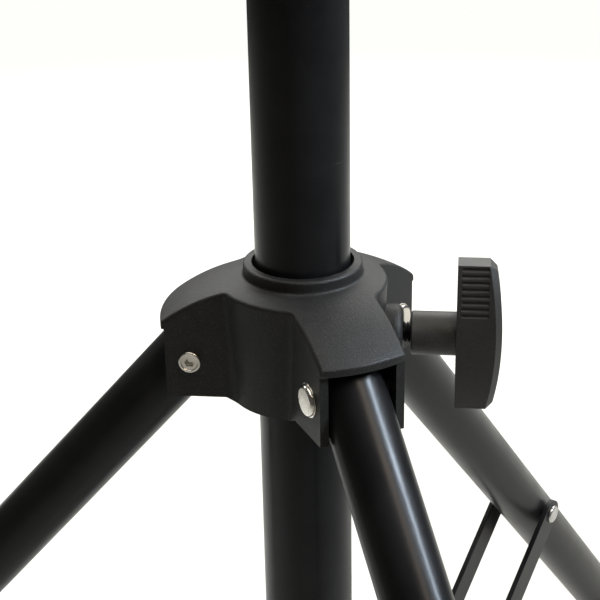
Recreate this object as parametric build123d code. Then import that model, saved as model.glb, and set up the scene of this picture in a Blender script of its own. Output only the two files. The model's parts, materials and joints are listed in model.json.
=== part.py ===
from build123d import *
import os
from math import asin, atan2, cos, degrees, hypot, radians, sin, sqrt

# A folding floor stand: a centre pole, a moulded hub that slides on it, three legs hinged in the
# hub, and three pairs of flat braces that tie the legs to a collar near the foot of the pole.
# Millimetres and degrees, +Z up. The origin is on the pole's axis, on the floor. The clamp knob
# points along +X.

# ---- driving dimensions ----
POLE_R = 17.5
POLE_WALL = 1.8
POLE_BOTTOM = 4.0
POLE_TOP = 826.0

LEG_R = 12.5
LEG_WALL = 1.5
LEG_ABOVE_PIVOT = 8.0
LEG_BELOW_PIVOT = 452.0
LEG_OPEN = 41.85            # from the vertical, standing
LEG_FOLDED = 2.0            # from the vertical, hub slid up
LEGS = {"front": -60.0, "rear": 60.0, "left": 180.0}

PIVOT_RHO = 40.6            # leg hinge, from the pole's axis
RUBBER_UNDER_TUBE = 6.5
PIVOT_Z = (
    LEG_BELOW_PIVOT * cos(radians(LEG_OPEN)) + LEG_R * sin(radians(LEG_OPEN)) + RUBBER_UNDER_TUBE
)

BORE_R = 18.8               # hub bore, with liners in it
LINER_R = 17.58             # running fit on the pole
LINERS = {"upper": (16.5, 30.0), "lower": (-15.6, -3.0)}
BARREL_TOP_R = 31.0
BARREL_BOTTOM_R = 28.6
BARREL_BOTTOM = -16.6       # heights in the hub are from the leg hinges' plane
BEYOND = 60.0               # past every surface of the hub, for its uncut column and for cuts
BARREL_TAPER = (BARREL_TOP_R - BARREL_BOTTOM_R) / 42.7
RING_R = 22.0
RING_TOP = 35.0
RING_BOTTOM = 18.0          # inside the casting
RING_FOOT = 30.6
RING_FLARE = 2.4
RING_FLARE_Z = 29.0
RING_FOOT_ROUND = 1.2
RING_TOP_ROUND = 1.3
SHARP = 0.01                # stands for no rounding at a corner
ROOF_BOW_R = 69.0           # the domed roof's arc, with its centre at this radius and height
ROOF_CENTRE_R = 9.0
ROOF_CENTRE_Z = -37.6
ROOF_EDGE_R = 53.2
ROOF_THICK = 2.7
ARM_HALF = 16.3
SLOT_HALF = 13.0
SLOT_BACK = 24.5
CHEEK_END = 49.8
CHEEK_BOTTOM = -14.4
CUT_DEPTH = 30.0            # how far the arms' cuts reach below and beside the arm
UNDERSIDE_STEP_R = 32.0
WEB_REACH = 38.0
WEB_FILLET = 4.0
EDGE_ROUND = 1.5
BOSS_R = 10.5
BOSS_END = 37.0
BOSS_ROUND = 3.0

KNOB_Z = 6.85
STUD_R = 3.95               # M8
STUD_TIP = 0.8
STUD_HOLE_R = 4.3
STUD_IN_KNOB = 66.0
STEM_R = 8.15
STEM_START = 40.0
STEM_CHAMFER = 0.4
BAR_INNER = 56.5
BAR_OUTER = 73.2
BAR_SHOULDER = 70.7
BAR_TIP = 68.2
BAR_HALF = 28.8
BAR_CORNER = 2.1
BAR_HALF_THICK = 8.45       # at the middle, and at the two ends
BAR_END_HALF_THICK = 4.3
BAR_BEVEL = 2.3
GRIP_COUNT = 8
GRIP_PITCH = 2.4
GRIP_TOP = 27.4
GRIP_R = 0.8
GRIP_START = 58.1
GRIP_END = 68.0
GRIP_LIFT = 0.15            # how far the grooves' axes lie outside the face

NUT_START = 23.6
NUT_END = 30.0
NUT_FLATS = 13.0
NUT_BORE_R = 4.02
PAD_R = 6.2
PAD_POCKET_R = 6.4
PAD_FACE_R = 17.65
PAD_BACK = 20.6

PIN_R = 3.25                # sleeve of the leg bolts
PIN_HOLE_R = 3.3
TUBE_HOLE_R = 3.6           # the tube clears the sleeve, and its plug runs on it
SLEEVE_HEAD_R = 5.85
SLEEVE_HEAD_THICK = 1.6
WASHER_R = 6.3
WASHER_THICK = 0.4
SCREW_R = 2.0
SCREW_DEPTH = 12.0
SCREW_HEAD_R = 4.15
SCREW_HEAD_THICK = 1.4
SCREW_RIM = 1.0             # width of the raised rim round the head's dish
SCREW_DISH = 0.35
SCREW_SOCKET = 3.2
SCREW_SOCKET_DEPTH = 2.2
PLUG_DEPTH = 24.0

RIVET_R = 2.5
RIVET_HOLE_R = 2.55
RIVET_HEAD_R = 4.6
RIVET_HEAD_THICK = 1.3
RIVET_PLAY = 0.1
BRACE_ON_LEG = 225.0        # down the leg from its hinge
BRACE_WIDTH = 14.0
BRACE_THICK = 2.5
BRACE_INSIDE = 13.2         # inner face of each bar, from the leg's middle plane

COLLAR_PIVOT_RHO = 28.0
COLLAR_PIVOT_Z = 35.0
COLLAR_R = 22.0
COLLAR_HALF_HEIGHT = 11.0
COLLAR_CHAMFER = 1.0
LUG_HALF = 12.8
LUG_GAP_HALF = 8.0
LUG_R = 7.0
LUG_GAP_START = 24.0
SET_SCREW_R = 3.0

FOOT_R = 15.5
FOOT_START = 412.0
FOOT_END = 474.0
FOOT_ROUND = 7.0
FOOT_CHAMFER = 1.2
FOOT_GROOVES = (420.0, 425.0, 430.0)
FOOT_GROOVE_R = 1.2
UNDER = 600.0               # more than the stand's reach, to cut the feet flat at the floor

CAP_R = 18.5
CAP_CHAMFER = 1.0
HEAD_ROUND = 1.5
HEAD_TOP = 834.0
HEAD_DEPTH = 22.0
CAMERA_STUD_R = 3.175       # 1/4 inch
CAMERA_STUD_LENGTH = 9.0
CAMERA_STUD_TIP = 0.5
CAMERA_STUD_ROOT_R = 4.5
CAMERA_STUD_FOOT = 816.0
TOP_PAD_R = 14.5
TOP_PAD_HOLE_R = 4.6
TOP_PAD_THICK = 1.2         # below the plate's rim, with a little more above it
TOP_PAD_PROUD = 0.6

# ---- the linkage ----
OPEN = radians(LEG_OPEN)
FOLDED = radians(LEG_FOLDED)


def brace_end(leg_angle):
    """Where the brace meets the leg, as radius and depth below the leg's hinge."""
    return PIVOT_RHO + BRACE_ON_LEG * sin(leg_angle), BRACE_ON_LEG * cos(leg_angle)


open_rho, open_depth = brace_end(OPEN)
BRACE_LENGTH = hypot(open_rho - COLLAR_PIVOT_RHO, PIVOT_Z - open_depth - COLLAR_PIVOT_Z)
BRACE_OPEN = atan2(open_rho - COLLAR_PIVOT_RHO, PIVOT_Z - open_depth - COLLAR_PIVOT_Z)
folded_rho, folded_depth = brace_end(FOLDED)
BRACE_FOLDED = asin((folded_rho - COLLAR_PIVOT_RHO) / BRACE_LENGTH)
HUB_TRAVEL = COLLAR_PIVOT_Z + BRACE_LENGTH * cos(BRACE_FOLDED) + folded_depth - PIVOT_Z

TO_HUB = Pos(0, 0, PIVOT_Z)


# ---- helpers ----
def rod(radius, start, end):
    """A cylinder on the Z axis from one height to the other."""
    return Pos(0, 0, (start + end) / 2) * Cylinder(radius, end - start)


def tube(outer, inner, start, end):
    return rod(outer, start, end) - rod(inner, start - 1, end + 1)


def rod_x(radius, start, end):
    return Rot(0, 90, 0) * rod(radius, start, end)


def rod_y(radius, start, end):
    return Rot(-90, 0, 0) * rod(radius, start, end)


def block(x0, x1, y0, y1, z0, z1):
    centre = Pos((x0 + x1) / 2, (y0 + y1) / 2, (z0 + z1) / 2)
    return centre * Box(x1 - x0, y1 - y0, z1 - z0)


def turned(points, radii):
    """A solid of revolution from a closed outline of (radius, height) points."""
    outline = Plane.XZ * FilletPolyline(*points, radius=radii, close=True)
    return revolve(make_face(outline), Axis.Z)


def hexagon_rod(across_flats, start, end):
    corner = across_flats / sqrt(3)
    return Pos(0, 0, start) * extrude(RegularPolygon(corner, 6), end - start)


def on_arm(azimuth):
    return Rot(0, 0, azimuth)


def on_leg(azimuth):
    """Places a leg drawn hanging down -Z from its hinge."""
    return Rot(0, 0, azimuth) * Pos(PIVOT_RHO, 0, PIVOT_Z) * Rot(0, -LEG_OPEN, 0)


def on_brace(azimuth):
    """Places a brace drawn hanging down -Z from its pivot on the leg."""
    at = Pos(open_rho, 0, PIVOT_Z - open_depth)
    return Rot(0, 0, azimuth) * at * Rot(0, degrees(BRACE_OPEN), 0)


def roof_height(radius):
    return ROOF_CENTRE_Z + sqrt(ROOF_BOW_R**2 - (radius - ROOF_CENTRE_R) ** 2)


def fused(solids):
    whole = solids[0]
    for solid in solids[1:]:
        whole = whole + solid
    return whole


# ---- hub ----
def under_roof(lowered, edge, floor, step):
    """What lies under the domed roof, lowered by so much, and above a stepped underside."""
    middle = (ROOF_CENTRE_R + edge) / 2
    top, bow, rim = ((r, roof_height(r) - lowered) for r in (ROOF_CENTRE_R, middle, edge))
    rest = Polyline(
        rim,
        (edge, step),
        (UNDERSIDE_STEP_R, step),
        (BARREL_BOTTOM_R, floor),
        (0, floor),
        (0, top[1]),
        top,
    )
    return revolve(make_face(Plane.XZ * (ThreePointArc(top, bow, rim) + rest)), Axis.Z)


def stands_up(edge):
    return edge.bounding_box().size.Z > 0.9 * edge.length


def in_web(edge):
    middle = edge.center()
    return hypot(middle.X, middle.Y) < WEB_REACH


def on_roof_rim(edge):
    """The top edges of barrel and arms: all above the lip's corner, and none of them upright."""
    box = edge.bounding_box()
    return box.min.Z > roof_height(ROOF_EDGE_R) - 0.1 and box.size.Z < 15 and edge.length > 0.5


def outer_form():
    """Barrel and arms as one tapered column with blended webs, cut to the roof and the underside."""
    top_r = BARREL_BOTTOM_R + BARREL_TAPER * BEYOND
    barrel = Cone(BARREL_BOTTOM_R, top_r, BEYOND, align=(Align.CENTER, Align.CENTER, Align.MIN))
    arm = block(0, BEYOND, -ARM_HALF, ARM_HALF, 0, BEYOND)
    column = fused([barrel] + [on_arm(azimuth) * arm for azimuth in LEGS.values()])
    column = Pos(0, 0, BARREL_BOTTOM) * column
    column = fillet(column.edges().filter_by(stands_up).filter_by(in_web), WEB_FILLET)
    return column & under_roof(0, ROOF_EDGE_R, BARREL_BOTTOM, CHEEK_BOTTOM)


def collar_ring():
    """The raised ring round the pole, flared into the roof, with a rounded top edge."""
    inside = BORE_R - 4
    flare = RING_R + RING_FLARE
    points = [(inside, RING_BOTTOM), (flare, RING_BOTTOM), (flare, RING_FLARE_Z)]
    points += [(RING_R, RING_FOOT), (RING_R, RING_TOP), (inside, RING_TOP)]
    return turned(points, [SHARP, SHARP, 0.3, RING_FOOT_ROUND, RING_TOP_ROUND, SHARP])


def clamp_boss():
    boss = rod_x(BOSS_R, BORE_R - 4, BOSS_END)
    boss = fillet(boss.edges().group_by(Axis.X)[-1], BOSS_ROUND)
    return Pos(0, 0, KNOB_Z) * boss


def arm_cuts(azimuth):
    """The slot for the leg, the step that leaves the roof overhanging, and the bolt's hole."""
    slot = block(SLOT_BACK, BEYOND, -SLOT_HALF, SLOT_HALF, -CUT_DEPTH, BEYOND)
    slot = slot & under_roof(ROOF_THICK, BEYOND, -CUT_DEPTH, -CUT_DEPTH)
    lip_bottom = roof_height(ROOF_EDGE_R) - ROOF_THICK
    step = block(CHEEK_END, BEYOND, -CUT_DEPTH, CUT_DEPTH, -CUT_DEPTH, lip_bottom)
    pin_hole = Pos(PIVOT_RHO, 0, 0) * rod_y(PIN_HOLE_R, -CUT_DEPTH, CUT_DEPTH)
    return on_arm(azimuth) * (slot + step + pin_hole)


def clamp_cuts():
    """Pad pocket and nut pocket, both open to the bore, then the clearance hole for the stud."""
    pad = rod_x(PAD_POCKET_R, 0, NUT_START)
    nut = Rot(0, 90, 0) * hexagon_rod(NUT_FLATS, 0, NUT_END)
    stud = rod_x(STUD_HOLE_R, 0, BEYOND)
    return Pos(0, 0, KNOB_Z) * (pad + nut + stud)


def hub_casting():
    body = outer_form()
    body = fillet(body.edges().filter_by(on_roof_rim), EDGE_ROUND)
    body = body + collar_ring()
    body = body + clamp_boss()
    for azimuth in LEGS.values():
        body = body - arm_cuts(azimuth)
    body = body - clamp_cuts()
    body = body - rod(BORE_R, -BEYOND, BEYOND)
    return TO_HUB * body


def liner(start, end):
    """A nylon bush in the hub's bore, with a running fit on the pole."""
    return TO_HUB * (tube(BORE_R, LINER_R, start, end) - clamp_cuts())


def clamp_nut():
    nut = Rot(0, 90, 0) * hexagon_rod(NUT_FLATS, NUT_START, NUT_END)
    return TO_HUB * Pos(0, 0, KNOB_Z) * (nut - rod_x(NUT_BORE_R, 0, BEYOND))


def clamp_pad():
    """A round pad between the stud's end and the pole, hollowed to the pole's curve."""
    pad = Pos(0, 0, KNOB_Z) * rod_x(PAD_R, PAD_BACK / 2, PAD_BACK)
    return TO_HUB * (pad - rod(PAD_FACE_R, -BEYOND, BEYOND))


def on_pin(azimuth):
    return Rot(0, 0, azimuth) * Pos(PIVOT_RHO, 0, PIVOT_Z)


def leg_pivot_sleeve(azimuth):
    """Domed head against one cheek, and a threaded sleeve through the arm."""
    seat = ARM_HALF + WASHER_THICK
    head = rod_y(SLEEVE_HEAD_R, -seat - SLEEVE_HEAD_THICK, -seat)
    head = fillet(head.edges().group_by(Axis.Y)[0], SLEEVE_HEAD_THICK * 0.85)
    sleeve = rod_y(PIN_R, -seat, ARM_HALF) - rod_y(SCREW_R, ARM_HALF - SCREW_DEPTH, ARM_HALF + 1)
    return on_pin(azimuth) * (head + sleeve)


def leg_pivot_screw(azimuth):
    """The small screw from the other side: round head with a raised rim and a hex socket."""
    face = ARM_HALF + SCREW_HEAD_THICK
    head = rod_y(SCREW_HEAD_R, ARM_HALF, face)
    head = fillet(head.edges().group_by(Axis.Y)[-1], SCREW_RIM / 2)
    dish = rod_y(SCREW_HEAD_R - SCREW_RIM, face - SCREW_DISH, face + 1)
    socket = Rot(-90, 0, 0) * hexagon_rod(SCREW_SOCKET, face - SCREW_SOCKET_DEPTH, face + 1)
    shank = rod_y(SCREW_R, ARM_HALF - SCREW_DEPTH, ARM_HALF)
    return on_pin(azimuth) * (head + shank - dish - socket)


def leg_washer(azimuth):
    washer = rod_y(WASHER_R, -ARM_HALF - WASHER_THICK, -ARM_HALF) - rod_y(PIN_R, -BEYOND, 0)
    return on_pin(azimuth) * washer


# ---- knob ----
def on_knob():
    return Pos(0, 0, PIVOT_Z + KNOB_Z)


def face_bow_radius():
    """Radius of the arc that each broad face of the bar follows from end to end."""
    fall = BAR_HALF_THICK - BAR_END_HALF_THICK
    return (BAR_HALF**2 + fall**2) / (2 * fall)


def half_thick(height):
    """The bar's half thickness at a height from its middle."""
    bow = face_bow_radius()
    return BAR_HALF_THICK - bow + sqrt(bow**2 - height**2)


def bar_lens():
    """The bar seen end on: two bowed faces, thickest in the middle."""
    thick, thin = BAR_HALF_THICK, BAR_END_HALF_THICK
    near = ThreePointArc((-thin, -BAR_HALF), (-thick, 0), (-thin, BAR_HALF))
    far = ThreePointArc((thin, BAR_HALF), (thick, 0), (thin, -BAR_HALF))
    ends = Line((-thin, BAR_HALF), (thin, BAR_HALF)) + Line((thin, -BAR_HALF), (-thin, -BAR_HALF))
    return extrude(make_face(Plane.YZ * (near + far + ends)), BAR_OUTER + 1, both=True)


def grip_grooves():
    """Round-bottomed grooves across the upper half of one face of the bar."""
    groove = rod_x(GRIP_R, GRIP_START, GRIP_END)
    heights = [GRIP_TOP - i * GRIP_PITCH for i in range(GRIP_COUNT)]
    return fused([Pos(0, -half_thick(height) - GRIP_LIFT, height) * groove for height in heights])


def bar_side():
    """Outline of the bar seen from the side: flat inner edge, bowed outer edge, cut corners."""
    shoulder = BAR_HALF - BAR_CORNER
    bow = ThreePointArc((BAR_SHOULDER, -shoulder), (BAR_OUTER, 0), (BAR_SHOULDER, shoulder))
    rest = Polyline(
        (BAR_SHOULDER, shoulder),
        (BAR_TIP, BAR_HALF),
        (BAR_INNER, BAR_HALF),
        (BAR_INNER, -BAR_HALF),
        (BAR_TIP, -BAR_HALF),
        (BAR_SHOULDER, -shoulder),
    )
    return make_face(Plane.XZ * (bow + rest))


def on_bow(edge):
    """The two long bowed edges between a broad face and the outer end of the bar."""
    return edge.length > BAR_HALF and edge.center().X > BAR_SHOULDER and abs(edge.center().Y) > 1


def knob_body():
    bar = extrude(bar_side(), BAR_HALF_THICK + 1, both=True) & bar_lens()
    bar = chamfer(bar.edges().filter_by(on_bow), BAR_BEVEL)
    for half_turn in (0, 180):
        bar = bar - Rot(half_turn, 0, 0) * grip_grooves()
    stem = rod_x(STEM_R, STEM_START, BAR_INNER + 1)
    stem = chamfer(stem.edges().group_by(Axis.X)[0], STEM_CHAMFER)
    return on_knob() * (bar + stem - rod_x(STUD_R, 0, STUD_IN_KNOB))


def knob_stud():
    stud = rod_x(STUD_R, PAD_BACK, STUD_IN_KNOB)
    return on_knob() * chamfer(stud.edges().group_by(Axis.X)[0], STUD_TIP)


# ---- legs ----
def leg_tube(azimuth):
    body = tube(LEG_R, LEG_R - LEG_WALL, -LEG_BELOW_PIVOT, LEG_ABOVE_PIVOT)
    body = body - rod_y(TUBE_HOLE_R, -FOOT_R, FOOT_R)
    body = body - Pos(0, 0, -BRACE_ON_LEG) * rod_y(RIVET_R, -FOOT_R, FOOT_R)
    return on_leg(azimuth) * body


def leg_plug(azimuth):
    body = rod(LEG_R - LEG_WALL, -PLUG_DEPTH, LEG_ABOVE_PIVOT)
    return on_leg(azimuth) * (body - rod_y(PIN_HOLE_R, -FOOT_R, FOOT_R))


def foot(azimuth):
    """A rubber boot over the tube, cut flat where it stands on the floor."""
    body = rod(FOOT_R, -FOOT_END, -FOOT_START)
    body = fillet(body.edges().group_by(Axis.Z)[0], FOOT_ROUND)
    body = chamfer(body.edges().group_by(Axis.Z)[-1], FOOT_CHAMFER)
    for depth in FOOT_GROOVES:
        body = body - Pos(0, 0, -depth) * Torus(FOOT_R + 0.4, FOOT_GROOVE_R)
    body = body - rod(LEG_R, -LEG_BELOW_PIVOT, 1 - FOOT_START)
    under_floor = block(-UNDER, UNDER, -UNDER, UNDER, -UNDER, 0)
    return on_leg(azimuth) * body - under_floor


def rivet_head(side, seat):
    head = rod_y(RIVET_HEAD_R, seat, seat + RIVET_HEAD_THICK)
    head = fillet(head.edges().group_by(Axis.Y)[-1], RIVET_HEAD_THICK * 0.8)
    return head if side > 0 else Rot(0, 0, 180) * head


def leg_rivet(azimuth):
    """Through the leg and both bars, with a low head at each end."""
    seat = BRACE_INSIDE + BRACE_THICK + RIVET_PLAY
    rivet = rod_y(RIVET_R, -seat, seat) + rivet_head(1, seat) + rivet_head(-1, seat)
    return on_leg(azimuth) * Pos(0, 0, -BRACE_ON_LEG) * rivet


# ---- braces ----
def brace_bar(azimuth, side):
    """A flat bar with round ends: one hole runs on the leg's rivet, the other holds its own rivet."""
    near, far = sorted((side * BRACE_INSIDE, side * (BRACE_INSIDE + BRACE_THICK)))
    half = BRACE_WIDTH / 2
    lower = Pos(0, 0, -BRACE_LENGTH)
    bar = block(-half, half, near, far, -BRACE_LENGTH, 0) + rod_y(half, near, far)
    bar = bar + lower * rod_y(half, near, far)
    return on_brace(azimuth) * (bar - rod_y(RIVET_HOLE_R, near, far) - lower * rod_y(RIVET_R, near, far))


def collar_rivets(azimuth):
    """The rivets of the bars' lower ends, one in each bar, with its head outside."""
    seat = BRACE_INSIDE + BRACE_THICK
    rivet = rod_y(RIVET_R, BRACE_INSIDE, seat) + rivet_head(1, seat)
    pair = [rivet, Rot(0, 0, 180) * rivet]
    return [on_brace(azimuth) * Pos(0, 0, -BRACE_LENGTH) * one for one in pair]


# ---- pole ----
def lower_collar():
    """A ring round the pole with a forked lug for each pair of braces."""
    ring = rod(COLLAR_R, -COLLAR_HALF_HEIGHT, COLLAR_HALF_HEIGHT)
    ring = chamfer(ring.edges().filter_by(GeomType.CIRCLE), COLLAR_CHAMFER)
    for azimuth in LEGS.values():
        tongue = block(0, COLLAR_PIVOT_RHO, -LUG_HALF, LUG_HALF, -LUG_R, LUG_R)
        tongue = tongue + Pos(COLLAR_PIVOT_RHO, 0, 0) * rod_y(LUG_R, -LUG_HALF, LUG_HALF)
        gap = block(LUG_GAP_START, BEYOND, -LUG_GAP_HALF, LUG_GAP_HALF, -BEYOND, BEYOND)
        tongue = tongue - gap - Pos(COLLAR_PIVOT_RHO, 0, 0) * rod_y(RIVET_HOLE_R, -BEYOND, BEYOND)
        ring = ring + on_arm(azimuth) * tongue
    for azimuth in LEGS.values():
        ring = ring - on_arm(azimuth + 180) * rod_x(SET_SCREW_R, 0, BEYOND)
    return Pos(0, 0, COLLAR_PIVOT_Z) * (ring - rod(POLE_R, -BEYOND, BEYOND))


def set_screw(azimuth):
    """A hexagon-socket set screw, sunk a little in the collar."""
    screw = rod_x(SET_SCREW_R, POLE_R + 0.15, COLLAR_R - 0.6)
    socket = Rot(0, 90, 0) * hexagon_rod(SET_SCREW_R, COLLAR_R - 2.6, COLLAR_R)
    return Pos(0, 0, COLLAR_PIVOT_Z) * on_arm(azimuth + 180) * (screw - socket)


def pole_foot_cap():
    cap = rod(CAP_R, 0, POLE_BOTTOM)
    cap = chamfer(cap.edges().group_by(Axis.Z)[0], CAP_CHAMFER)
    return cap + rod(POLE_R - POLE_WALL, POLE_BOTTOM, POLE_BOTTOM + HEAD_DEPTH)


def pole_head():
    """Plug and plate on top of the pole, with a seat for the camera stud and its rubber pad."""
    plate = rod(CAP_R, POLE_TOP, HEAD_TOP)
    plate = fillet(plate.edges().group_by(Axis.Z)[-1], HEAD_ROUND)
    head = plate + rod(POLE_R - POLE_WALL, POLE_TOP - HEAD_DEPTH, POLE_TOP)
    head = head - rod(TOP_PAD_R, HEAD_TOP - TOP_PAD_THICK, HEAD_TOP + 1)
    return head - rod(CAMERA_STUD_ROOT_R, CAMERA_STUD_FOOT, HEAD_TOP)


def camera_stud():
    start = HEAD_TOP - TOP_PAD_THICK
    root = rod(CAMERA_STUD_ROOT_R, CAMERA_STUD_FOOT, start)
    stud = rod(CAMERA_STUD_R, start, start + CAMERA_STUD_LENGTH)
    return root + chamfer(stud.edges().group_by(Axis.Z)[-1], CAMERA_STUD_TIP)


def camera_pad():
    start = HEAD_TOP - TOP_PAD_THICK
    return tube(TOP_PAD_R, TOP_PAD_HOLE_R, start, HEAD_TOP + TOP_PAD_PROUD)


# ---- every node ----
azimuths = list(LEGS.values())
nodes = {
    "pole_tube": tube(POLE_R, POLE_R - POLE_WALL, POLE_BOTTOM, POLE_TOP),
    "pole_foot_cap": pole_foot_cap(),
    "pole_head": pole_head(),
    "camera_stud": camera_stud(),
    "camera_pad": camera_pad(),
    "lower_collar": lower_collar(),
    "collar_set_screws": [set_screw(azimuth) for azimuth in azimuths],
    "hub_casting": hub_casting(),
    "clamp_nut": clamp_nut(),
    "clamp_pad": clamp_pad(),
    "leg_pivot_sleeves": [leg_pivot_sleeve(azimuth) for azimuth in azimuths],
    "leg_pivot_screws": [leg_pivot_screw(azimuth) for azimuth in azimuths],
    "leg_pivot_washers": [leg_washer(azimuth) for azimuth in azimuths],
    "knob_body": knob_body(),
    "knob_stud": knob_stud(),
}
for name, (start, end) in LINERS.items():
    nodes[f"hub_liner_{name}"] = liner(start, end)
for name, azimuth in LEGS.items():
    nodes[f"leg_tube_{name}"] = leg_tube(azimuth)
    nodes[f"leg_plug_{name}"] = leg_plug(azimuth)
    nodes[f"foot_{name}"] = foot(azimuth)
    nodes[f"leg_rivet_{name}"] = leg_rivet(azimuth)
    nodes[f"brace_bar_{name}_a"] = brace_bar(azimuth, -1)
    nodes[f"brace_bar_{name}_b"] = brace_bar(azimuth, 1)
    nodes[f"collar_rivets_{name}"] = collar_rivets(azimuth)

os.makedirs("parts", exist_ok=True)
for name, shape in nodes.items():
    whole = Compound(children=shape) if isinstance(shape, list) else shape
    export_step(whole, f"parts/{name}.step")

print(f"leg hinges {PIVOT_Z:.4f} above the floor, hub travel {HUB_TRAVEL:.4f}")
print(f"legs fold {LEG_OPEN - LEG_FOLDED:.4f} degrees")
print(f"braces {BRACE_LENGTH:.4f} long, from {degrees(BRACE_OPEN):.4f} to {degrees(BRACE_FOLDED):.4f}")
print(f"braces meet the legs at radius {open_rho:.4f}, height {PIVOT_Z - open_depth:.4f}")
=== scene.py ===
"""Looks of a folding floor stand: black coated tubes, a grained plastic hub and its clamp knob."""
import json
import math

import bmesh
import bpy
from mathutils import Matrix, Vector


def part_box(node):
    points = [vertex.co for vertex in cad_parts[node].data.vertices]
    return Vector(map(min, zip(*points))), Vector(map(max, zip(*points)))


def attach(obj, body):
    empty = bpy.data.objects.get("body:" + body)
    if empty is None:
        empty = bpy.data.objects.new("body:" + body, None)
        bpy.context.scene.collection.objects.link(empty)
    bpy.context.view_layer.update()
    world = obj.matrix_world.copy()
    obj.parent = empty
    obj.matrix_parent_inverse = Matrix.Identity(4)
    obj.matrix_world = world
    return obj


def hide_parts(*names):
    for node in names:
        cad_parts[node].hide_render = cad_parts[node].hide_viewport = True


MM = 0.001
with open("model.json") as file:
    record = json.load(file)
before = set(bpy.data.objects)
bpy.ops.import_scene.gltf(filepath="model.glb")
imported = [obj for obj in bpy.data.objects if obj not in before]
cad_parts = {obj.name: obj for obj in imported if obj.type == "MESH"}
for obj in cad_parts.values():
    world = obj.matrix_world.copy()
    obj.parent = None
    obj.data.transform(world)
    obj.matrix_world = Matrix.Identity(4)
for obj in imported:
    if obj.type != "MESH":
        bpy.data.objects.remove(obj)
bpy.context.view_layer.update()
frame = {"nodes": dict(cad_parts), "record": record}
NODES = frame["nodes"]
SLOT_OF = {row["node"]: row["material_slot"] for row in frame["record"]["subparts"]}
BODY_OF = {
    node: body
    for body, members in frame["record"]["behaviour"]["bodies"].items()
    for node in members
}

RING_TOP_ABOVE_HINGES = 35.0 * MM
HINGE_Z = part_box("hub_casting")[1].z - RING_TOP_ABOVE_HINGES
HUB_CENTRE = Vector((0, 0, HINGE_Z))


# ---- camera ----
CAMERA_AZIMUTH = math.radians(6.67)
CAMERA_ELEVATION = math.radians(23.74)
CAMERA_ROLL = math.radians(-1.12)
CAMERA_DISTANCE = 525.18 * MM
CAMERA_LENS = 85.14
CAMERA_SENSOR = 36.0
CAMERA_AIM = HUB_CENTRE + Vector((-1.27 * MM, -0.15 * MM, 18.73 * MM))


def add_camera():
    across = math.cos(CAMERA_ELEVATION)
    back = Vector(
        (
            math.sin(CAMERA_AZIMUTH) * across,
            -math.cos(CAMERA_AZIMUTH) * across,
            math.sin(CAMERA_ELEVATION),
        )
    )
    right = Vector((math.cos(CAMERA_AZIMUTH), math.sin(CAMERA_AZIMUTH), 0))
    turn = Matrix((right, back.cross(right), back)).transposed()
    roll = Matrix.Rotation(CAMERA_ROLL, 3, "Z")
    data = bpy.data.cameras.new("camera")
    data.lens = CAMERA_LENS
    data.sensor_width = CAMERA_SENSOR
    data.clip_start = 0.01
    data.clip_end = 100
    camera = bpy.data.objects.new("camera", data)
    place = Matrix.Translation(CAMERA_AIM + back * CAMERA_DISTANCE)
    camera.matrix_world = place @ (turn @ roll).to_4x4()
    bpy.context.scene.collection.objects.link(camera)
    bpy.context.scene.camera = camera


# ---- shader helpers ----
def new_material(name):
    material = bpy.data.materials.new(name)
    material.use_nodes = True
    tree = material.node_tree
    return material, tree, tree.nodes["Principled BSDF"]


def object_space(tree, scale=(1, 1, 1)):
    place = tree.nodes.new("ShaderNodeTexCoord").outputs["Object"]
    stretch = tree.nodes.new("ShaderNodeMapping")
    stretch.inputs["Scale"].default_value = scale
    tree.links.new(place, stretch.inputs["Vector"])
    return stretch.outputs["Vector"]


def add_noise(tree, place, scale, detail=3.0, roughness=0.5):
    noise = tree.nodes.new("ShaderNodeTexNoise")
    noise.inputs["Scale"].default_value = scale
    noise.inputs["Detail"].default_value = detail
    noise.inputs["Roughness"].default_value = roughness
    tree.links.new(place, noise.inputs["Vector"])
    return noise.outputs["Fac"]


def add_range(tree, value, from_span, to_span):
    spread = tree.nodes.new("ShaderNodeMapRange")
    spread.inputs["From Min"].default_value, spread.inputs["From Max"].default_value = from_span
    spread.inputs["To Min"].default_value, spread.inputs["To Max"].default_value = to_span
    tree.links.new(value, spread.inputs["Value"])
    return spread.outputs["Result"]


def add_mix(tree, factor, first, second):
    """Blends two colours, each a colour or another node's output."""
    mix = tree.nodes.new("ShaderNodeMix")
    mix.data_type = "RGBA"
    tree.links.new(factor, mix.inputs["Factor"])
    for socket, colour in ((mix.inputs[6], first), (mix.inputs[7], second)):
        if isinstance(colour, tuple):
            socket.default_value = (*colour, 1)
        else:
            tree.links.new(colour, socket)
    return mix.outputs[2]


def add_bump(tree, height, strength, distance):
    bump = tree.nodes.new("ShaderNodeBump")
    bump.inputs["Strength"].default_value = strength
    bump.inputs["Distance"].default_value = distance
    tree.links.new(height, bump.inputs["Height"])
    return bump.outputs["Normal"]


MIDDLE = (0.32, 0.68)       # where nearly all of a noise's values lie
CONVEX = (0.56, 0.66)       # pointiness from a slight to a full convex edge


def edge_wear(tree):
    """One where the surface is a convex edge, from the mesh's own pointiness."""
    geometry = tree.nodes.new("ShaderNodeNewGeometry")
    return add_range(tree, geometry.outputs["Pointiness"], CONVEX, (0, 1))


def times(colour, factor):
    return tuple(factor * part for part in colour)


# ---- materials ----
FLECK_TONE = 4.0            # times the plastic's lighter tone
RUBBED_TONE = 2.6


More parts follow.
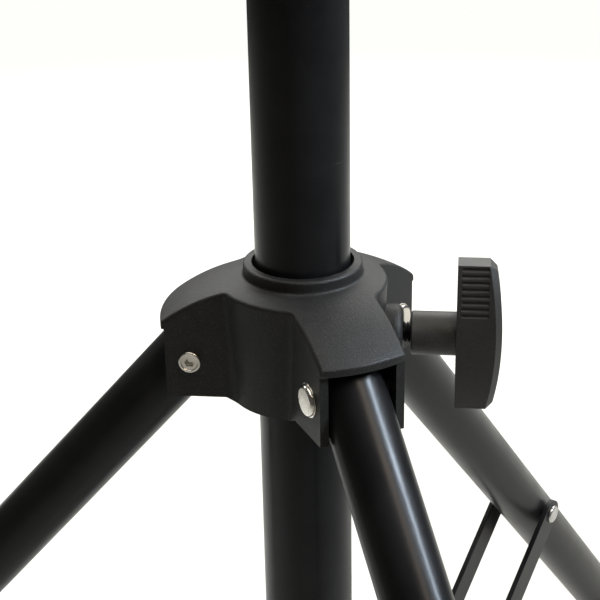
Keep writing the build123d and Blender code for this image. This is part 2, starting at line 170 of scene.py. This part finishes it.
def grained_plastic(name, dark, light, roughness, grain_mm, depth_mm, specular):
    """Moulded plastic: sandy spark-eroded grain, faint mottling, paler rubbed edges."""
    material, tree, shader = new_material(name)
    place = object_space(tree)
    fine = add_noise(tree, place, 1 / (grain_mm * MM), 2.0, 0.6)
    broad = add_noise(tree, place, 60.0, 5.0, 0.62)
    mottled = add_mix(tree, add_range(tree, broad, MIDDLE, (0, 1)), dark, light)
    flecks = add_range(tree, fine, (0.54, 0.78), (0, 0.6))
    speckled = add_mix(tree, flecks, mottled, times(light, FLECK_TONE))
    worn = add_mix(tree, edge_wear(tree), speckled, times(light, RUBBED_TONE))
    tree.links.new(worn, shader.inputs["Base Color"])
    rough = add_range(tree, broad, MIDDLE, (roughness - 0.05, roughness + 0.05))
    tree.links.new(rough, shader.inputs["Roughness"])
    tree.links.new(add_bump(tree, fine, 0.7, depth_mm * MM), shader.inputs["Normal"])
    shader.inputs["Specular IOR Level"].default_value = specular
    return material


DUST = (0.05, 0.05, 0.055)
SCUFF = (0.16, 0.15, 0.14)


def coated_metal(name, dark, light, roughness):
    """Black stoved coating: slight orange peel, fine dust and a few short level scuffs."""
    material, tree, shader = new_material(name)
    place = object_space(tree)
    broad = add_noise(tree, place, 35.0, 5.0, 0.65)
    dust = add_noise(tree, place, 2600.0, 2.0, 0.6)
    scuff = add_noise(tree, object_space(tree, (70, 70, 2400)), 1.0, 2.0, 0.5)
    toned = add_mix(tree, add_range(tree, broad, MIDDLE, (0, 1)), dark, light)
    dusted = add_mix(tree, add_range(tree, dust, (0.62, 0.8), (0, 0.3)), toned, DUST)
    scuffed = add_mix(tree, add_range(tree, scuff, (0.77, 0.82), (0, 0.6)), dusted, SCUFF)
    tree.links.new(scuffed, shader.inputs["Base Color"])
    rough = add_range(tree, broad, MIDDLE, (roughness - 0.04, roughness + 0.05))
    tree.links.new(rough, shader.inputs["Roughness"])
    peel = add_noise(tree, place, 700.0, 2.0)
    tree.links.new(add_bump(tree, peel, 0.3, 0.03 * MM), shader.inputs["Normal"])
    shader.inputs["Specular IOR Level"].default_value = 0.16
    shader.inputs["Coat Weight"].default_value = 0.05
    shader.inputs["Coat Roughness"].default_value = 0.14
    return material


DULL_TONE = 0.75            # times the metal's own colour


def bare_metal(name, colour, roughness):
    """Plated or plain steel: cloudy tone, uneven polish and shallow handling marks."""
    material, tree, shader = new_material(name)
    place = object_space(tree)
    cloudy = add_noise(tree, place, 260.0, 4.0, 0.5)
    tone = add_mix(tree, add_range(tree, cloudy, MIDDLE, (0, 1)), times(colour, DULL_TONE), colour)
    tree.links.new(tone, shader.inputs["Base Color"])
    rough = add_range(tree, cloudy, MIDDLE, (roughness - 0.06, roughness + 0.06))
    tree.links.new(rough, shader.inputs["Roughness"])
    marks = add_noise(tree, place, 1500.0, 3.0, 0.5)
    tree.links.new(add_bump(tree, marks, 0.15, 0.02 * MM), shader.inputs["Normal"])
    shader.inputs["Metallic"].default_value = 1.0
    return material


MATERIALS = {
    "coated_tube": coated_metal("coated_tube", (0.004, 0.004, 0.0045), (0.008, 0.008, 0.0085), 0.33),
    "coated_bar": coated_metal("coated_bar", (0.006, 0.006, 0.0065), (0.012, 0.012, 0.0125), 0.36),
    "hub_plastic": grained_plastic(
        "hub_plastic", (0.006, 0.006, 0.0057), (0.0115, 0.0112, 0.0105), 0.5, 0.55, 0.26, 0.27
    ),
    "knob_plastic": grained_plastic(
        "knob_plastic", (0.014, 0.013, 0.0115), (0.02, 0.0185, 0.0165), 0.47, 0.36, 0.12, 0.46
    ),
    "moulded_plastic": grained_plastic(
        "moulded_plastic", (0.012, 0.012, 0.012), (0.019, 0.019, 0.019), 0.5, 0.4, 0.1, 0.4
    ),
    "nylon": grained_plastic("nylon", (0.03, 0.03, 0.03), (0.04, 0.04, 0.04), 0.45, 0.6, 0.04, 0.4),
    "rubber": grained_plastic(
        "rubber", (0.012, 0.012, 0.012), (0.02, 0.02, 0.02), 0.72, 0.5, 0.08, 0.3
    ),
    "plated_steel": bare_metal("plated_steel", (0.82, 0.78, 0.71), 0.2),
    "rivet_steel": bare_metal("rivet_steel", (0.6, 0.59, 0.57), 0.32),
    "blackened_steel": bare_metal("blackened_steel", (0.045, 0.045, 0.048), 0.38),
}


# ---- pieces ----
def finish_piece(piece, node):
    """Gives a new piece its node's finish, and stands it in for the node on the node's body."""
    piece.data.materials.clear()
    piece.data.materials.append(MATERIALS[SLOT_OF[node]])
    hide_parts(node)
    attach(piece, BODY_OF[node])


def add_object(name, mesh):
    piece = bpy.data.objects.new(name, mesh)
    bpy.context.scene.collection.objects.link(piece)
    return piece


def apply_modifiers(piece):
    evaluated = piece.evaluated_get(bpy.context.evaluated_depsgraph_get())
    mesh = bpy.data.meshes.new_from_object(evaluated)
    piece.modifiers.clear()
    piece.data = mesh


SAME_POINT = 0.001 * MM
FLAT_ANGLE = math.radians(0.5)
CORNER_ANGLE = math.radians(34)
CORNER_SEGMENTS = 3
MANY_SIDES = 8


def frame_flat_faces(mesh, width):
    """Gives each large flat face a narrow border, so edge wear stays at its edges."""
    shape = bmesh.new()
    shape.from_mesh(mesh)
    flat = [face for face in shape.faces if len(face.verts) > MANY_SIDES]
    bmesh.ops.inset_individual(shape, faces=flat, thickness=width)
    shape.to_mesh(mesh)
    shape.free()


def softened(node, width):
    """The node's shape with every corner rounded to a small radius."""
    mesh = NODES[node].data.copy()
    shape = bmesh.new()
    shape.from_mesh(mesh)
    bmesh.ops.remove_doubles(shape, verts=shape.verts, dist=SAME_POINT)
    bmesh.ops.dissolve_limit(shape, angle_limit=FLAT_ANGLE, verts=shape.verts, edges=shape.edges)
    shape.to_mesh(mesh)
    shape.free()
    piece = add_object(f"{node}_form", mesh)
    bevel = piece.modifiers.new("round", "BEVEL")
    bevel.width = width
    bevel.segments = CORNER_SEGMENTS
    bevel.limit_method = "ANGLE"
    bevel.angle_limit = CORNER_ANGLE
    apply_modifiers(piece)
    frame_flat_faces(piece.data, width / 2)
    piece.data.polygons.foreach_set("use_smooth", [True] * len(piece.data.polygons))
    weighted = piece.modifiers.new("shade", "WEIGHTED_NORMAL")
    weighted.keep_sharp = True
    apply_modifiers(piece)
    finish_piece(piece, node)


THREAD_SIDES = 40
ROWS_PER_TURN = 10
FLAT_CREST = 0.12           # parts of half a pitch
FLANK = 0.7


def thread_depth(phase, depth):
    """How far the surface lies under the crest: a 60 degree thread with a flat crest and root."""
    slope = min(abs(2 * (phase % 1.0) - 1), 1.0)
    return depth * (1 - min(max((slope - FLAT_CREST) / FLANK, 0.0), 1.0))


def threaded_rod(node, place, stretches, pitch, depth):
    """A turned rod along local Z. Each stretch is (start, end, radius, threaded or not)."""
    rows = []
    for start, end, radius, threaded in stretches:
        count = max(2, int((end - start) / pitch * ROWS_PER_TURN)) if threaded else 2
        for index in range(count):
            height = start + (end - start) * index / (count - 1)
            lead = min(1.0, 2 * (height - start) / pitch, 2 * (end - height) / pitch)
            rows.append((height, radius, depth * lead if threaded else 0.0))
    shape = bmesh.new()
    rings = []
    for height, radius, cut in rows:
        ring = []
        for side in range(THREAD_SIDES):
            turn = side / THREAD_SIDES
            reach = radius - thread_depth(height / pitch - turn, cut)
            angle = math.tau * turn
            point = Vector((reach * math.cos(angle), reach * math.sin(angle), height))
            ring.append(shape.verts.new(place @ point))
        rings.append(ring)
    for lower, upper in zip(rings, rings[1:]):
        for side in range(THREAD_SIDES):
            other = (side + 1) % THREAD_SIDES
            shape.faces.new((lower[side], lower[other], upper[other], upper[side]))
    shape.faces.new(rings[0][::-1])
    shape.faces.new(rings[-1])
    bmesh.ops.recalc_face_normals(shape, faces=shape.faces)
    mesh = bpy.data.meshes.new(f"{node}_thread")
    shape.to_mesh(mesh)
    shape.free()
    mesh.polygons.foreach_set("use_smooth", [len(face.vertices) == 4 for face in mesh.polygons])
    finish_piece(add_object(f"{node}_thread", mesh), node)


def middle_of(node):
    low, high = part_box(node)
    return (low + high) / 2


M8_PITCH = 1.25 * MM
M8_DEPTH = 0.68 * MM
M8_TIP = 0.8 * MM


def knob_thread():
    """The M8 stud, from its tip inside the hub to its root in the knob's stem."""
    low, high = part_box("knob_stud")
    radius = (high.z - low.z) / 2
    centre = middle_of("knob_stud")
    along_x = Matrix.Rotation(math.radians(90), 4, "Y")
    place = Matrix.Translation((low.x, centre.y, centre.z)) @ along_x
    stretches = [(0, 0, radius - M8_TIP, False), (M8_TIP, high.x - low.x, radius, True)]
    threaded_rod("knob_stud", place, stretches, M8_PITCH, M8_DEPTH)


QUARTER_INCH_R = 3.175 * MM
QUARTER_INCH_PITCH = 1.27 * MM
QUARTER_INCH_DEPTH = 0.66 * MM
QUARTER_INCH_TIP = 0.5 * MM
CAMERA_STUD_LENGTH = 9.0 * MM


def camera_thread():
    """The quarter-inch stud on the pole's head, with its plain root."""
    low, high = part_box("camera_stud")
    root = (high.x - low.x) / 2
    end = high.z - low.z
    start = end - CAMERA_STUD_LENGTH
    stretches = [
        (0, start, root, False),
        (start, end - QUARTER_INCH_TIP, QUARTER_INCH_R, True),
        (end, end, QUARTER_INCH_R - QUARTER_INCH_TIP, False),
    ]
    place = Matrix.Translation((0, 0, low.z))
    threaded_rod("camera_stud", place, stretches, QUARTER_INCH_PITCH, QUARTER_INCH_DEPTH)


CORNER_RADIUS = {           # in millimetres
    "hub_casting": 0.45,
    "knob_body": 0.35,
    "lower_collar": 0.5,
    "pole_head": 0.35,
    "pole_foot_cap": 0.5,
    "pole_tube": 0.25,
    "camera_pad": 0.3,
    "leg_pivot_sleeves": 0.15,
    "leg_pivot_screws": 0.15,
    "leg_pivot_washers": 0.08,
    "collar_set_screws": 0.15,
    "clamp_nut": 0.3,
    "clamp_pad": 0.2,
}
LEG_CORNER_RADIUS = {
    "leg_tube": 0.25,
    "leg_plug": 0.3,
    "foot": 0.6,
    "leg_rivet": 0.15,
    "collar_rivets": 0.15,
}
for leg in ("front", "rear", "left"):
    for kind, radius in LEG_CORNER_RADIUS.items():
        CORNER_RADIUS[f"{kind}_{leg}"] = radius
    for side in ("a", "b"):
        CORNER_RADIUS[f"brace_bar_{leg}_{side}"] = 0.4

for node, piece in NODES.items():
    piece.data.materials.clear()
    piece.data.materials.append(MATERIALS[SLOT_OF[node]])
for node, radius in CORNER_RADIUS.items():
    softened(node, radius * MM)
knob_thread()
camera_thread()


# ---- floor and light ----
FLOOR_SOLID = 1.1           # metres from the pole, where the floor starts to fade
FLOOR_GONE = 1.9
FLOOR_COLOUR = (0.62, 0.62, 0.6, 1)


def add_floor():
    """A pale floor that fades out evenly on all sides into the white backdrop."""
    half = FLOOR_GONE
    corners = [(-half, -half, 0), (half, -half, 0), (half, half, 0), (-half, half, 0)]
    mesh = bpy.data.meshes.new("floor")
    mesh.from_pydata(corners, [], [(0, 1, 2, 3)])
    material, tree, shader = new_material("floor")
    shader.inputs["Base Color"].default_value = FLOOR_COLOUR
    shader.inputs["Roughness"].default_value = 0.95
    shader.inputs["Specular IOR Level"].default_value = 0.1
    away = tree.nodes.new("ShaderNodeVectorMath")
    away.operation = "LENGTH"
    tree.links.new(object_space(tree), away.inputs[0])
    fade = add_range(tree, away.outputs["Value"], (FLOOR_SOLID, FLOOR_GONE), (1, 0))
    tree.links.new(fade, shader.inputs["Alpha"])
    mesh.materials.append(material)
    add_object("floor", mesh)


BACK_WHITE = (1.0, 1.0, 0.97)
CEILING_WHITE = (1.0, 0.97, 0.9)
WARM = (1.0, 0.84, 0.68)
DAYLIGHT = (0.74, 0.86, 1.0)


def add_area(name, place, aim, size, radiance, colour, spread=180):
    """A soft box of the given size in metres. Its brightness is the same whatever its size."""
    data = bpy.data.lights.new(name, "AREA")
    data.shape = "RECTANGLE"
    data.size, data.size_y = size
    data.energy = radiance * math.pi * size[0] * size[1]
    data.color = colour
    data.spread = math.radians(spread)
    lamp = add_object(name, data)
    lamp.location = place
    lamp.rotation_euler = (Vector(aim) - Vector(place)).to_track_quat("-Z", "Y").to_euler()
    lamp.visible_camera = False


BACKDROP = (1.0, 1.0, 0.96)
ROOM_LIGHT = (0.08, 0.078, 0.074)


def add_world():
    """A white backdrop, and the dim even light of a room on everything."""
    world = bpy.data.worlds.new("world")
    world.use_nodes = True
    tree = world.node_tree
    seen = tree.nodes.new("ShaderNodeLightPath").outputs["Is Camera Ray"]
    background = tree.nodes["Background"]
    tree.links.new(add_mix(tree, seen, ROOM_LIGHT, BACKDROP), background.inputs["Color"])
    bpy.context.scene.world = world


add_camera()
add_floor()
add_world()
add_area("back_box", (-0.15, 1.5, 1.05), (-0.15, 1.5, 0.0), (3.4, 2.2), 3.5, BACK_WHITE)
add_area("ceiling_box", (-0.15, -0.2, 1.7), (0, -0.1, 0), (1.3, 1.0), 1.3, CEILING_WHITE, 130)
room = HUB_CENTRE + Vector((0.63, -0.57, 0.9))
add_area("room_box", room, HUB_CENTRE, (0.42, 0.4), 1.05, WARM, 60)
window = HUB_CENTRE + Vector((1.05, -0.1, 0.7))
add_area("window_box", window, HUB_CENTRE, (0.2, 0.45), 5.5, DAYLIGHT, 40)
bpy.context.scene.view_settings.view_transform = "Standard"
